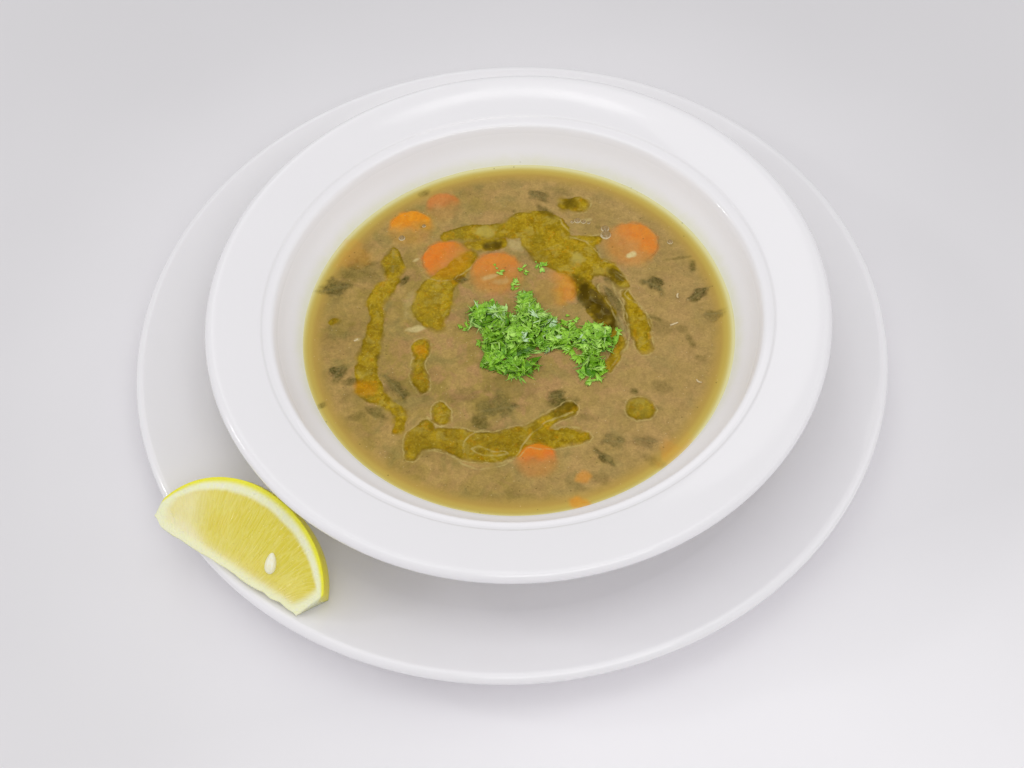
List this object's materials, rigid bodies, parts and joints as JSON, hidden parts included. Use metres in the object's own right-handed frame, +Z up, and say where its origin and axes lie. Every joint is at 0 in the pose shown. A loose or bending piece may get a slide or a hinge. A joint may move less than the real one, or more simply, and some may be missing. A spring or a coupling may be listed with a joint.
{
  "type": "bowl of chard lentil soup on an underplate",
  "caption": "Rimmed soup bowl of chard lentil soup with carrot slices, olive oil and chopped parsley, standing on an underplate that carries a lemon wedge.",
  "frame": {"origin": "middle of the underplate's foot, on the table", "axes": "+Z up; -Y towards the viewer of the picture; +X to the viewer's right"},
  "size_m": [0.2992, 0.2992, 0.0521],
  "materials": {
    "glaze": "glossy white glazed porcelain",
    "soup": "wet and oily",
    "carrot": "wet",
    "chard": "wet leaf",
    "parsley": "fresh leaf",
    "lemon": "juicy cut fruit",
    "seed": "smooth"
  },
  "bodies": {
    "root": {"bowl": "glaze", "underplate": "glaze", "soup": "soup", "carrot_1": "carrot", "carrot_2": "carrot", "carrot_3": "carrot", "carrot_4": "carrot", "carrot_5": "carrot", "carrot_6": "carrot", "carrot_7": "carrot", "chard_1": "chard", "chard_2": "chard", "chard_3": "chard", "chard_4": "chard", "chard_5": "chard", "chard_6": "chard", "chard_7": "chard", "chard_8": "chard", "chard_9": "chard", "chard_10": "chard", "chard_11": "chard", "chard_12": "chard", "chard_13": "chard", "chard_14": "chard", "chard_15": "chard", "chard_16": "chard", "chard_17": "chard", "parsley": "parsley", "lemon_wedge": "lemon", "lemon_seed": "seed"}
  },
  "joints": []
}
